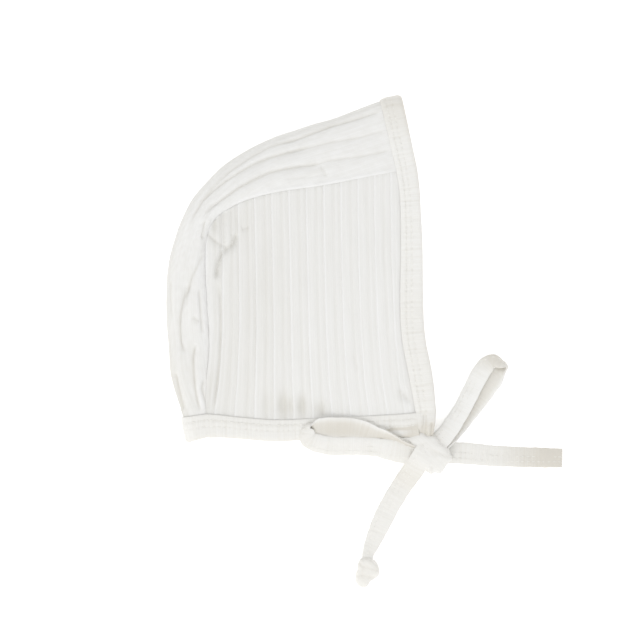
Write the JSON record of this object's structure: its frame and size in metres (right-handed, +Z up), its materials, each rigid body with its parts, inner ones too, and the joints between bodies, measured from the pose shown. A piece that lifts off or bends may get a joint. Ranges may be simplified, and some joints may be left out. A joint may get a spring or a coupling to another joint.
{
  "type": "baby bonnet",
  "caption": "Rib-knit baby bonnet lying flat on its side, with a crown strip between side panels, bound face and neck edges and ties in a bow.",
  "frame": {"origin": "on the table under the middle of the bonnet as it lies, without its loose ties", "axes": "+Z up from the table, +X forward to the face edge, +Y up to the crown of the bonnet"},
  "size_m": [0.1981, 0.2458, 0.0241],
  "materials": {
    "rib_knit": "soft wide-rib cotton knit, off-white, matt",
    "binding_knit": "folded cotton knit tape, off-white, matt, coverstitched"
  },
  "bodies": {
    "root": {"crown_strip": "rib_knit", "side_panel_upper": "rib_knit", "side_panel_lower": "rib_knit", "face_binding": "binding_knit", "neck_binding": "binding_knit", "bow_knot": "binding_knit", "bow_loop_left": "binding_knit", "bow_loop_right": "binding_knit", "tie_tail_right": "binding_knit", "tie_tail_down": "binding_knit", "tie_end_knot": "binding_knit"}
  },
  "joints": []
}
